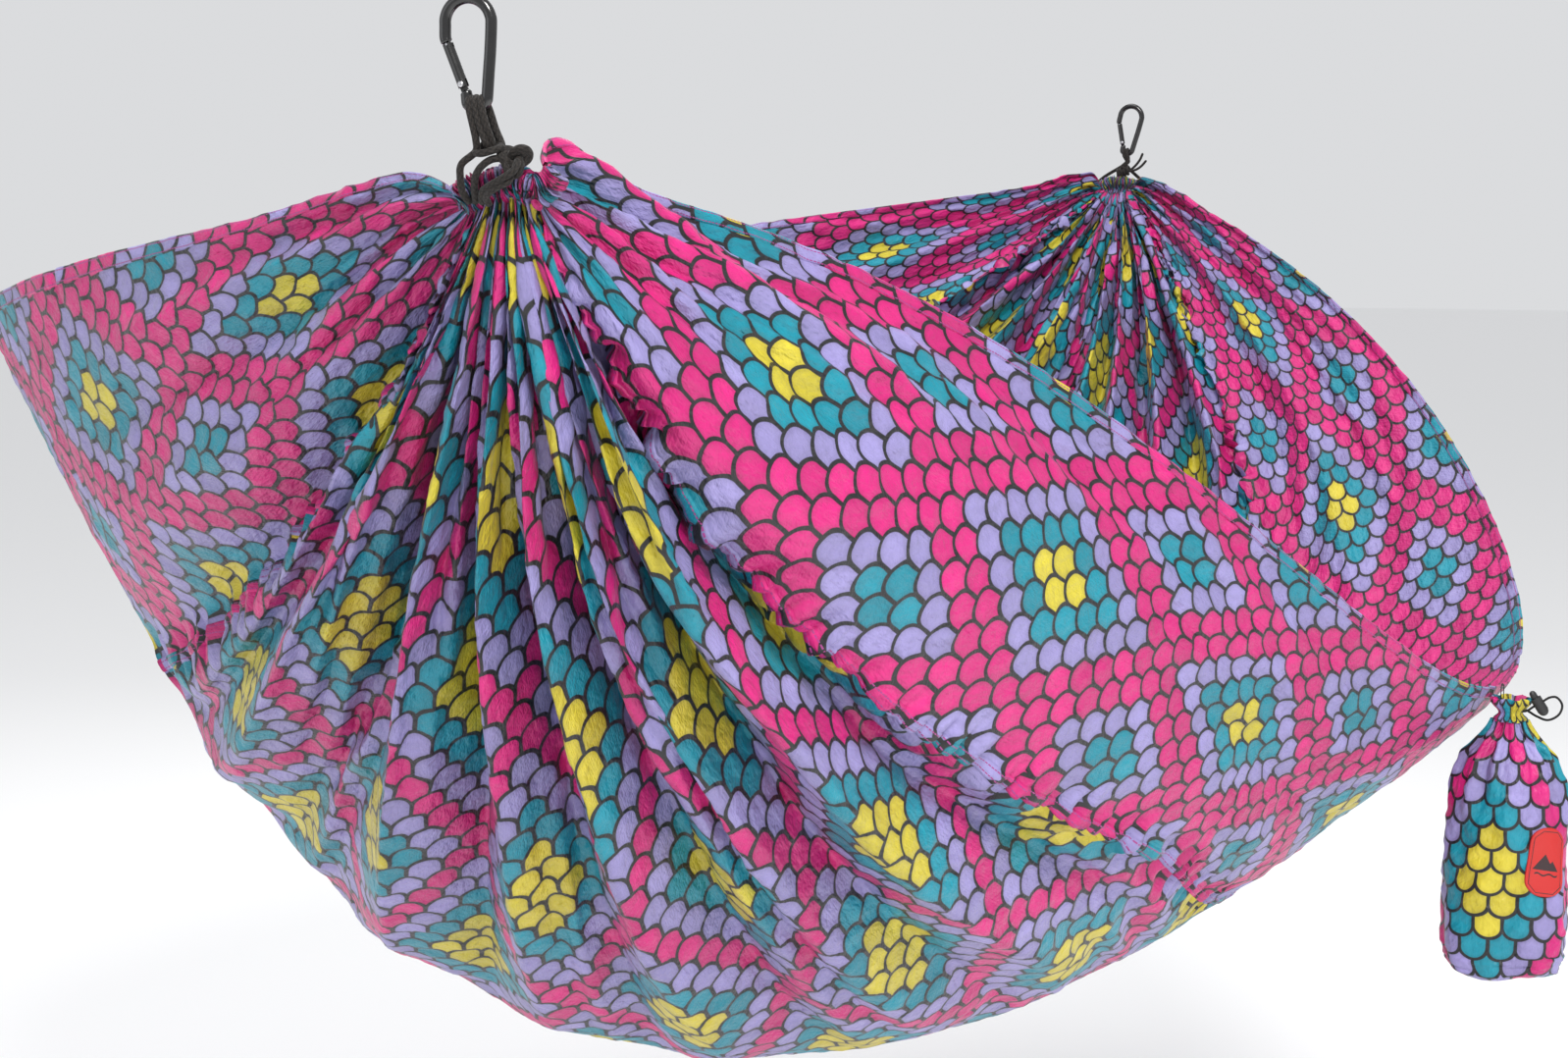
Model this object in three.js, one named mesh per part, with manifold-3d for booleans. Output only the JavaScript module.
// Camping hammock: three sewn fabric panels gathered at both ends, end ropes,
// two spring-gate snap hooks and a stuff sack sewn to the middle of one hem.
// Millimetres, +Z up. Origin: the near hang point, inside the crown of the near snap hook.
// +X runs from the near end to the far end, +Y is the left side.
import * as THREE from 'three';
import { mergeVertices } from 'three/addons/utils/BufferGeometryUtils.js';
import Module from 'manifold-3d';

const wasm = await Module();
wasm.setup();

// ---------------------------------------------------------------- dimensions
const CHORD = 2445;            // gather to gather
const GATHER = new THREE.Vector3(12, -18, -112);   // near gather, from the hang point
const FAR_HANG = new THREE.Vector3(2457, -38, -5); // far hang point
const FAR_TILT = 12 * Math.PI / 180;

const SEAM_V = 0.62;           // seams at this fraction of the half width
const FABRIC_T = 3.0;          // thickness of the plain fabric solids
const U_START = 0.014, U_END = 0.986;
const SEAM_GAP = 1.2;          // clear gap between neighbouring panels

// belly shape: half-turn angles of the hems about the chord, and sag of left hem, keel, right hem
const HEM_L = 80.55, HEM_R = -48.14;
const SAG_L = 957, SAG_K = 921, SAG_R = 833;
const BULGE_L = -73, BULGE_R = -41;   // the sides are a little flatter than a circle
const EXP_K = 1.345, EXP_H = 1.40;
const SKEW = -0.071, SKEW_R = 0.156, SKEW_L = -0.008;
const FLARE_L = 3.39, FLARE_R = 32.75, FLARE_K = -23.65;

const HOOK_LEN = 80, HOOK_W = 41, HOOK_WIRE = 8;
const ROPE_D = 4;
const CORD_D = 2.6;            // drawcord of the sack

const SACK_H = 300, SACK_RX = 47, SACK_RY = 68;

// ---------------------------------------------------------------- helpers
const part = new THREE.Group();
const V = (x, y, z) => new THREE.Vector3(x, y, z);

function mat(color, roughness, metalness) {
  return new THREE.MeshStandardMaterial({ color, roughness, metalness });
}
function add(name, geometry, material, parent = part) {
  const m = new THREE.Mesh(geometry, material);
  m.name = name;
  parent.add(m);
  return m;
}
function solid(geometry) {
  const g = geometry.clone();
  g.deleteAttribute('normal');
  g.deleteAttribute('uv');
  const q = mergeVertices(g, 1e-4);
  return new wasm.Manifold(new wasm.Mesh({
    numProp: 3,
    vertProperties: new Float32Array(q.attributes.position.array),
    triVerts: new Uint32Array(q.index.array),
  }));
}
function geom(m) {
  const mesh = m.getMesh();
  const g = new THREE.BufferGeometry();
  g.setAttribute('position', new THREE.BufferAttribute(new Float32Array(mesh.vertProperties), 3));
  g.setIndex(new THREE.BufferAttribute(new Uint32Array(mesh.triVerts), 1));
  g.computeVertexNormals();
  return g;
}
function box(w, d, h, x = 0, y = 0, z = 0) {
  const g = new THREE.BoxGeometry(w, d, h);
  g.translate(x, y, z);
  return g;
}
// cylinder between two points
function rod(a, b, r, seg = 16, r2 = r) {
  const dir = b.clone().sub(a);
  const g = new THREE.CylinderGeometry(r2, r, dir.length(), seg);
  g.translate(0, dir.length() / 2, 0);
  g.applyQuaternion(new THREE.Quaternion().setFromUnitVectors(V(0, 1, 0), dir.clone().normalize()));
  g.translate(a.x, a.y, a.z);
  return g;
}
function ball(c, r, ws = 14, hs = 10) {
  const g = new THREE.SphereGeometry(r, ws, hs);
  g.translate(c.x, c.y, c.z);
  return g;
}
function ring(r, sides) {
  const s = new THREE.Shape();
  for (let i = 0; i < sides; i++) {
    const a = (i + 0.5) / sides * 2 * Math.PI;
    if (i) s.lineTo(r * Math.cos(a), r * Math.sin(a)); else s.moveTo(r * Math.cos(a), r * Math.sin(a));
  }
  s.closePath();
  return s;
}
function tube(points, r, sides = 8, steps = 40, closed = false) {
  const path = new THREE.CatmullRomCurve3(points, closed, 'centripetal');
  return new THREE.ExtrudeGeometry(ring(r, sides), { steps, bevelEnabled: false, extrudePath: path, curveSegments: 1 });
}

const FABRIC = mat('#e8318f', 0.55, 0);
const FABRIC_SIDE = mat('#a79bd0', 0.55, 0);
const FABRIC_CHANNEL = mat('#00a3b4', 0.55, 0);
const ROPE = mat('#2f2a28', 0.85, 0);
const BLACK_METAL = mat('#17181a', 0.35, 0.85);
const STEEL = mat('#b9bcc0', 0.35, 1.0);
const BLACK_PLASTIC = mat('#131314', 0.45, 0);
const RED = mat('#d8322c', 0.7, 0);

// ---------------------------------------------------------------- fabric belly
const rad = Math.PI / 180;
function belly(u, v) {
  const w = (2 * u - 1) ** 2;
  const aL = HEM_L + FLARE_L * w, aR = HEM_R - FLARE_R * w;
  const phi = rad * ((aL - aR) / 2 * v + (aL + aR) / 2 + FLARE_K * w * (1 - v * v));
  const D = SAG_K + (SAG_L - SAG_R) / 2 * v + ((SAG_L + SAG_R) / 2 - SAG_K) * v * v
    + 4 * v * v * (1 - v * v) * (v < 0 ? BULGE_R : BULGE_L);
  const um = 0.5 + SKEW + (SKEW_L - SKEW_R) / 2 * v + (SKEW_L + SKEW_R) / 2 * v * v;
  const t = Math.pow(u, Math.log(0.5) / Math.log(um));
  const g = Math.pow(4 * t * (1 - t), EXP_K + (EXP_H - EXP_K) * v * v);
  const r = D * g + 9;
  return V(GATHER.x + CHORD * u, GATHER.y + r * Math.sin(phi), GATHER.z - r * Math.cos(phi));
}
function bellyNormal(u, v) {
  const e = 1e-4;
  const du = belly(u + e, v).sub(belly(u - e, v));
  const dv = belly(u, v + e).sub(belly(u, v - e));
  return dv.cross(du).normalize();   // points outwards, away from the chord
}
function panel(v0, v1, gap0, gap1, nu, nv) {
  const pos = [], idx = [];
  for (let s = 0; s < 2; s++) {
    for (let i = 0; i <= nu; i++) {
      const q = i / nu;
      const u = U_START + (U_END - U_START) * (q - Math.sin(2 * Math.PI * q) * 0.09);
      const a = belly(u, v0), b = belly(u, v1);
      let span = 0, prev = a;
      for (let k = 1; k <= 8; k++) { const p = belly(u, v0 + (v1 - v0) * k / 8); span += p.distanceTo(prev); prev = p; }
      const w0 = v0 + (v1 - v0) * Math.min(0.2, gap0 / span), w1 = v1 - (v1 - v0) * Math.min(0.2, gap1 / span);
      for (let j = 0; j <= nv; j++) {
        const v = w0 + (w1 - w0) * j / nv;
        const p = belly(u, v).addScaledVector(bellyNormal(u, v), (s ? 1 : -1) * FABRIC_T / 2);
        pos.push(p.x, p.y, p.z);
      }
    }
  }
  const W = nv + 1, N = (nu + 1) * W;
  const at = (s, i, j) => s * N + i * W + j;
  const quad = (a, b, c, d) => idx.push(a, b, c, a, c, d);
  for (let i = 0; i < nu; i++) for (let j = 0; j < nv; j++) {
    quad(at(1, i, j), at(1, i, j + 1), at(1, i + 1, j + 1), at(1, i + 1, j));
    quad(at(0, i, j), at(0, i + 1, j), at(0, i + 1, j + 1), at(0, i, j + 1));
  }
  for (let i = 0; i < nu; i++) {
    quad(at(0, i, 0), at(1, i, 0), at(1, i + 1, 0), at(0, i + 1, 0));
    quad(at(1, i, nv), at(0, i, nv), at(0, i + 1, nv), at(1, i + 1, nv));
  }
  for (let j = 0; j < nv; j++) {
    quad(at(0, 0, j), at(0, 0, j + 1), at(1, 0, j + 1), at(1, 0, j));
    quad(at(1, nu, j), at(1, nu, j + 1), at(0, nu, j + 1), at(0, nu, j));
  }
  const g = new THREE.BufferGeometry();
  g.setAttribute('position', new THREE.Float32BufferAttribute(pos, 3));
  g.setIndex(idx);
  // orient outwards
  let vol = 0; const A = V(), B = V(), C = V();
  for (let k = 0; k < idx.length; k += 3) {
    A.fromArray(pos, idx[k] * 3); B.fromArray(pos, idx[k + 1] * 3); C.fromArray(pos, idx[k + 2] * 3);
    vol += A.dot(B.cross(C));
  }
  if (vol < 0) for (let k = 0; k < idx.length; k += 3) { const t = idx[k + 1]; idx[k + 1] = idx[k + 2]; idx[k + 2] = t; }
  g.setIndex(idx);
  g.computeVertexNormals();
  return g;
}
add('centre_panel', panel(-SEAM_V, SEAM_V, SEAM_GAP / 2, SEAM_GAP / 2, 34, 16), FABRIC);
add('left_side_panel', panel(SEAM_V, 1, SEAM_GAP / 2, 0, 34, 6), FABRIC_SIDE);
add('right_side_panel', panel(-1, -SEAM_V, 0, SEAM_GAP / 2, 34, 6), FABRIC_SIDE);

// ---------------------------------------------------------------- gathered end channels and ropes
// dir = +1 at the near end, -1 at the far end
function endChannel(name, c, dir, ropeSolid) {
  const body = tube([V(c.x, c.y + 34, c.z - 12), V(c.x + dir * 4, c.y + 17, c.z - 3), V(c.x + dir * 6, c.y, c.z),
    V(c.x + dir * 4, c.y - 17, c.z - 3), V(c.x, c.y - 34, c.z - 12)], 9.5, 12, 16);
  const x1 = CHORD * U_START - 1.0;
  const neck = rod(V(c.x + dir * 2, c.y, c.z - 4), V(c.x + dir * x1, c.y, c.z - 4), 9, 18, 13);
  add(name, geom(solid(body).add(solid(neck)).subtract(ropeSolid)), FABRIC_CHANNEL);
}
function hitchPoints(H, up, side, thick, spread) {
  // two strands rising from H (below the bar) round the bar and over it, in the hook's own directions
  return { H, up, side, thick, spread };
}
function endRope(prefix, c, dir, bar, up, thick, knotC) {
  // bar: centre of the hook's bottom wire; the bight lies on top of it, inside the hook
  const k = HOOK_WIRE / 2 + ROPE_D / 2 + 0.5;
  const P = (p, a, b) => p.clone().addScaledVector(thick, a).addScaledVector(up, b);
  const path = (grow) => {
    const loop = tube([
      knotC.clone().add(V(0, 0, 2)),
      P(bar, -3.5, -k - 10).add(V(0, 0, 0)), P(bar, -k, -3), P(bar, -k * 0.78, k * 0.78), P(bar, 0, k),
      P(bar, k * 0.78, k * 0.78), P(bar, k, -3), P(bar, 3.5, -k - 10), knotC.clone().add(V(0, 0, 2)).addScaledVector(thick, 0.5)],
    ROPE_D / 2 + grow, 8, 30);
    const run = tube([
      knotC.clone().add(V(dir * 2, 3, -1)),
      V(c.x - dir * 9, c.y + 26, c.z + 9), V(c.x - dir * 5, c.y + 42, c.z - 6), V(c.x - dir * 1, c.y + 36, c.z - 13),
      V(c.x + dir * 4, c.y + 17, c.z - 3), V(c.x + dir * 6, c.y, c.z), V(c.x + dir * 4, c.y - 17, c.z - 3),
      V(c.x - dir * 1, c.y - 36, c.z - 13), V(c.x - dir * 5, c.y - 42, c.z - 5), V(c.x - dir * 7, c.y - 30, c.z + 8),
      knotC.clone().add(V(dir * 2, -3, -1))],
    ROPE_D / 2 + grow, 8, 40);
    return solid(loop).add(solid(run));
  };
  const kg = new THREE.SphereGeometry(7.5, 12, 8);
  kg.scale(1.0, 1.25, 0.95);
  kg.translate(knotC.x, knotC.y, knotC.z);
  const rope = path(0).add(solid(kg));
  const clear = path(0.45).add(solid(kg));
  add(prefix + '_end_rope', geom(rope), ROPE);
  endChannel(prefix + '_end_channel', c, dir, clear);
}

// ---------------------------------------------------------------- snap hook
// Own frame: x towards the gate side, z up, y across the wire, origin inside the crown.
const W2 = HOOK_WIRE / 2;
const PIVOT = V(4.4, 0, -52.5), NOSE = V(14.6, 0, -26.5);
function snapHook(prefix, group) {
  const gd = NOSE.clone().sub(PIVOT);            // along the gate
  const gl = gd.length(); gd.normalize();
  const gn = V(gd.z, 0, -gd.x);                  // outwards, away from the spine
  const arc = (cx, cz, r, a0, a1, n) => Array.from({ length: n + 1 }, (_, i) => {
    const a = (a0 + (a1 - a0) * i / n) * rad; return V(cx + r * Math.cos(a), 0, cz + r * Math.sin(a));
  });
  const R1 = HOOK_W / 2 - W2;
  const pts = [
    NOSE.clone().addScaledVector(gd, 1.2),
    NOSE.clone().addScaledVector(gd, 5),
    ...arc(0, W2 - R1, R1, -6, 180, 9),
    V(-15.6, 0, -30), V(-14.2, 0, -46),
    ...arc(-5, -60, 8, 186, 322, 6),
    PIVOT.clone().addScaledVector(gd, -6.8), PIVOT.clone().addScaledVector(gd, -4.6),
  ];
  const wire = solid(tube(pts, W2, 10, 42));
  // flat tongues that run into the gate's slots
  const slab = (centre, along, len, high) => {
    const g = new THREE.BoxGeometry(high, 2.4, len);
    g.applyQuaternion(new THREE.Quaternion().setFromRotationMatrix(new THREE.Matrix4().makeBasis(gn, V(0, 1, 0).multiplyScalar(1), gd)));
    const p = centre.clone().addScaledVector(gd, along);
    g.translate(p.x, p.y, p.z);
    return g;
  };
  // right-handed basis check
  const foot = solid(slab(PIVOT, -2.0, 7.2, 5.0));
  const lip = solid(slab(NOSE, 0.4, 5.2, 4.6));
  const pinHole = solid(rod(PIVOT.clone().add(V(0, -6, 0)), PIVOT.clone().add(V(0, 6, 0)), 1.35, 14));
  const noseC = NOSE.clone().addScaledVector(gd, 0.1);
  const notch = solid(rod(noseC.clone().add(V(0, -3, 0)), noseC.clone().add(V(0, 3, 0)), 1.15, 12));
  const notchGap = new THREE.BoxGeometry(5, 6, 1.9);
  notchGap.applyQuaternion(new THREE.Quaternion().setFromRotationMatrix(new THREE.Matrix4().makeBasis(gn, V(0, 1, 0), gd)));
  const ng = noseC.clone().addScaledVector(gn, -2.5);
  notchGap.translate(ng.x, ng.y, ng.z);
  add(prefix + '_hook_frame', geom(wire.add(foot).add(lip).subtract(pinHole).subtract(notch).subtract(solid(notchGap))), BLACK_METAL, group);

  // gate: a rod with a slot at each end and a blind bore for the spring, open at the foot slot
  const a = PIVOT.clone().addScaledVector(gd, -2.1), b = NOSE.clone().addScaledVector(gd, 0.75);
  let gate = solid(rod(a, b, 3.7, 18));
  const cut = (centre, along, len) => {
    const g = new THREE.BoxGeometry(12, 3.2, len);
    g.applyQuaternion(new THREE.Quaternion().setFromRotationMatrix(new THREE.Matrix4().makeBasis(gn, V(0, 1, 0), gd)));
    const p = centre.clone().addScaledVector(gd, along);
    g.translate(p.x, p.y, p.z);
    return solid(g);
  };
  gate = gate.subtract(cut(PIVOT, -1.0, 7.6)).subtract(cut(NOSE, 0.5, 6.4));
  gate = gate.subtract(solid(rod(PIVOT.clone().addScaledVector(gd, 1), PIVOT.clone().addScaledVector(gd, 17), 1.5, 12)));
  gate = gate.subtract(solid(rod(PIVOT.clone().add(V(0, -6, 0)), PIVOT.clone().add(V(0, 6, 0)), 1.35, 14)));
  gate = gate.subtract(solid(rod(noseC.clone().add(V(0, -6, 0)), noseC.clone().add(V(0, 6, 0)), 1.1, 12)));
  add(prefix + '_gate', geom(gate), BLACK_METAL, group);

  // headed pivot rivet
  const prof = [[0, -4.9], [1.1, -4.8], [1.9, -4.4], [2.1, -4.0], [1.05, -4.0], [1.05, 4.0], [2.1, 4.0], [1.9, 4.4], [1.1, 4.8], [0, 4.9]];
  const rv = new THREE.LatheGeometry(prof.map(([r, y]) => new THREE.Vector2(r, y)), 14);
  rv.translate(PIVOT.x, 0, PIVOT.z);
  add(prefix + '_gate_rivet', rv, STEEL, group);
  add(prefix + '_nose_pin', rod(noseC.clone().add(V(0, -3.3, 0)), noseC.clone().add(V(0, 3.3, 0)), 0.8, 12), STEEL, group);
  // follower and spring in the bore
  const f0 = PIVOT.clone().addScaledVector(gd, 3.1), f1 = PIVOT.clone().addScaledVector(gd, 6.6);
  add(prefix + '_gate_follower', rod(f0, f1, 1.2, 12), STEEL, group);
  const s0 = PIVOT.clone().addScaledVector(gd, 7.25), turns = 5, len = 9.2, wire_r = 0.22, rr = 0.98;
  const hp = [];
  for (let i = 0; i <= turns * 8; i++) {
    const t = i / (turns * 8), an = t * turns * 2 * Math.PI;
    hp.push(s0.clone().addScaledVector(gd, t * len).addScaledVector(gn, rr * Math.cos(an)).add(V(0, rr * Math.sin(an), 0)));
  }
  add(prefix + '_gate_spring', tube(hp, wire_r, 5, turns * 8), STEEL, group);
}

// near hook: gate side to the left
const nearHook = new THREE.Group();
nearHook.rotation.set(0, 0, Math.PI / 2);
part.add(nearHook);
snapHook('near', nearHook);

const farHook = new THREE.Group();
farHook.position.copy(FAR_HANG);
farHook.rotation.set(FAR_TILT, 0, Math.PI / 2, 'XYZ');
part.add(farHook);
snapHook('far', farHook);
part.updateMatrixWorld(true);

const farGather = V(GATHER.x + CHORD, GATHER.y, GATHER.z);
const inHook = (grp, x, z) => V(x, 0, z).applyMatrix4(grp.matrixWorld);
const dirOf = (grp, v) => v.clone().transformDirection(grp.matrixWorld);
endRope('near', V(GATHER.x, GATHER.y, GATHER.z - 4), 1, inHook(nearHook, -5, -68), dirOf(nearHook, V(0, 0, 1)), V(1, 0, 0), V(4, -27, -97));
endRope('far', V(farGather.x, farGather.y, farGather.z - 4), -1, inHook(farHook, -5, -68), dirOf(farHook, V(0, 0, 1)), V(1, 0, 0), V(farGather.x - 4, farGather.y - 8, farGather.z + 12));

// two short free ends leave the far knot
const FK = V(farGather.x - 4, farGather.y - 8, farGather.z + 12);
const TAIL_A = [V(4.2, -8.8, 2), V(4.5, -14, 6), V(3, -20, 12), V(2, -25, 19), V(1, -29, 28)];
const TAIL_B = [V(-4.2, -8.8, 1), V(-6, -15, 1.5), V(-7, -22, 4), V(-8, -29, 9), V(-8, -36, 17)];
add('far_rope_tail_a', tube(TAIL_A.map(p => p.clone().add(FK)), ROPE_D / 2, 8, 12), ROPE);
add('far_rope_tail_b', tube(TAIL_B.map(p => p.clone().add(FK)), ROPE_D / 2, 8, 12), ROPE);

// ---------------------------------------------------------------- stuff sack at the middle of the right hem
const HEM_MID = belly(0.53, -1);
const SX = HEM_MID.x, SY = HEM_MID.y - 10, SZ = HEM_MID.z;
// woven tab sewn on the hem, outside the side panel
{
  const g = new THREE.BoxGeometry(16, 1.6, 17);
  g.translate(SX, SY + 1.5, SZ - 5.5);
  add('sack_tab', g, ROPE);
}
const neckZ = SZ - 30;
{
  // body: flattened bag, cinched at the top
  const prof = [[0, -SACK_H], [30, -SACK_H], [52, -SACK_H + 6], [61, -SACK_H + 22], [65, -SACK_H + 60], [68, -SACK_H + 120],
    [67, -SACK_H + 170], [60, -SACK_H + 215], [45, -SACK_H + 250], [25, -SACK_H + 276], [15, -SACK_H + 284], [0, -SACK_H + 284]];
  const g = new THREE.LatheGeometry(prof.map(([r, y]) => new THREE.Vector2(r, y)), 28);
  g.rotateX(Math.PI / 2);
  g.scale(SACK_RX / 68, SACK_RY / 68, 1);
  g.translate(SX, SY - 8, SZ - 18);
  add('sack_body', g, FABRIC);
  // ruffled casing round the mouth
  const c = [[0, 0.6], [14, 0.6], [17, 4], [17, 12], [20, 20], [22, 24], [0, 24]];
  const cg = new THREE.LatheGeometry(c.map(([r, y]) => new THREE.Vector2(r, y)), 20);
  cg.rotateX(Math.PI / 2);
  cg.scale(0.8, 1, 1);
  cg.translate(SX, SY - 8, SZ - 18 - SACK_H + 284);
  const tabSlot = box(17.2, 60, 18.4, SX, SY + 1.5 + 30 - 1.6, SZ - 5.5);
  const runs = [-5, 5].map(x => solid(tube([V(SX + x, SY - 30, SZ - 24.5), V(SX + x, SY - 12, SZ - 24.5)], CORD_D / 2 + 1.3, 8, 2)));
  add('sack_mouth_casing', geom(solid(cg).subtract(solid(tabSlot)).subtract(runs[0]).subtract(runs[1])), FABRIC_SIDE);
}
// drawcord: out of the casing on the outer side, through the lock and round in a loop
const DRAWCORD = [V(SX - 5, SY - 14, SZ - 24.5), V(SX - 5.3, SY - 24, SZ - 24), V(SX - 5.6, SY - 31.5, SZ - 18.9), V(SX - 5.6, SY - 40, SZ - 13.2),
  V(SX - 5.4, SY - 48.5, SZ - 7.6), V(SX - 3, SY - 56, SZ - 8), V(SX + 1, SY - 61.5, SZ - 17), V(SX + 3, SY - 58, SZ - 28), V(SX + 4.5, SY - 47, SZ - 34.5),
  V(SX + 5, SY - 35, SZ - 31), V(SX + 5, SY - 24, SZ - 25), V(SX + 5, SY - 14, SZ - 24.5)];
add('sack_drawcord', tube(DRAWCORD, CORD_D / 2, 8, 34), ROPE);
const lock = new THREE.Group();
lock.position.set(SX - 5.6, SY - 37.2, SZ - 15.1);
lock.rotation.set(-0.581, 0, 0);
part.add(lock);
{
  // barrel stands upright, the cord passes through it along y
  let b = solid(rod(V(0, 0, -9), V(0, 0, 7), 6, 20)).add(solid(ball(V(0, 0, -9), 5.6, 14, 7)));
  b = b.subtract(solid(rod(V(0, 0, -9.6), V(0, 0, 9), 4.1, 18)));
  b = b.subtract(solid(rod(V(0, -9, 0), V(0, 9, 0), 2.4, 12)));
  add('cord_lock_barrel', geom(b), BLACK_PLASTIC, lock);
  let p = solid(rod(V(0, 0, -3.4), V(0, 0, 12.5), 3.7, 18)).add(solid(ball(V(0, 0, 12.4), 3.6, 12, 6)));
  const slotG = new THREE.BoxGeometry(4.4, 12, 6.0); slotG.translate(0, 0, 1.4);
  p = p.subtract(solid(slotG));
  add('cord_lock_button', geom(p), BLACK_PLASTIC, lock);
  const hp = [];
  for (let i = 0; i <= 30; i++) { const t = i / 30, an = t * 3 * 2 * Math.PI; hp.push(V(2.6 * Math.cos(an), 2.6 * Math.sin(an), -9.1 + t * 5.2)); }
  add('cord_lock_spring', tube(hp, 0.3, 5, 24), STEEL, lock);
}
// sewn patch, faces outwards on the near side of the sack
{
  const w = 44, h = 76, ch = 11;
  const s = new THREE.Shape();
  [[-w / 2 + ch, -h / 2], [w / 2 - ch, -h / 2], [w / 2, -h / 2 + ch], [w / 2, h / 2 - ch], [w / 2 - ch, h / 2], [-w / 2 + ch, h / 2], [-w / 2, h / 2 - ch], [-w / 2, -h / 2 + ch]]
    .forEach(([x, y], i) => i ? s.lineTo(x, y) : s.moveTo(x, y));
  s.closePath();
  const g = new THREE.ExtrudeGeometry(s, { depth: 1.4, bevelEnabled: false });
  // stand it up with its face along +x of its own frame
  g.rotateX(Math.PI / 2);
  g.rotateZ(-Math.PI / 2);
  const an = 222 * rad;   // direction from the sack's axis, in plan
  const ex = SACK_RX * Math.cos(an), ey = SACK_RY * Math.sin(an);
  const nx = Math.cos(an) / SACK_RX, ny = Math.sin(an) / SACK_RY;
  const face = Math.atan2(ny, nx);
  const box0 = new THREE.Box3().setFromBufferAttribute(g.attributes.position);
  const m = new THREE.Mesh(g, RED);
  m.name = 'sack_patch';
  const off = 3.2;
  g.translate(-box0.max.x, 0, 0);
  m.position.set(SX + ex + off * Math.cos(face) + 1.4 * Math.cos(face), SY - 8 + ey + (off + 1.4) * Math.sin(face), SZ - 18 - SACK_H + 135);
  m.rotation.set(0, 0, face);
  part.add(m);
}

export default part;
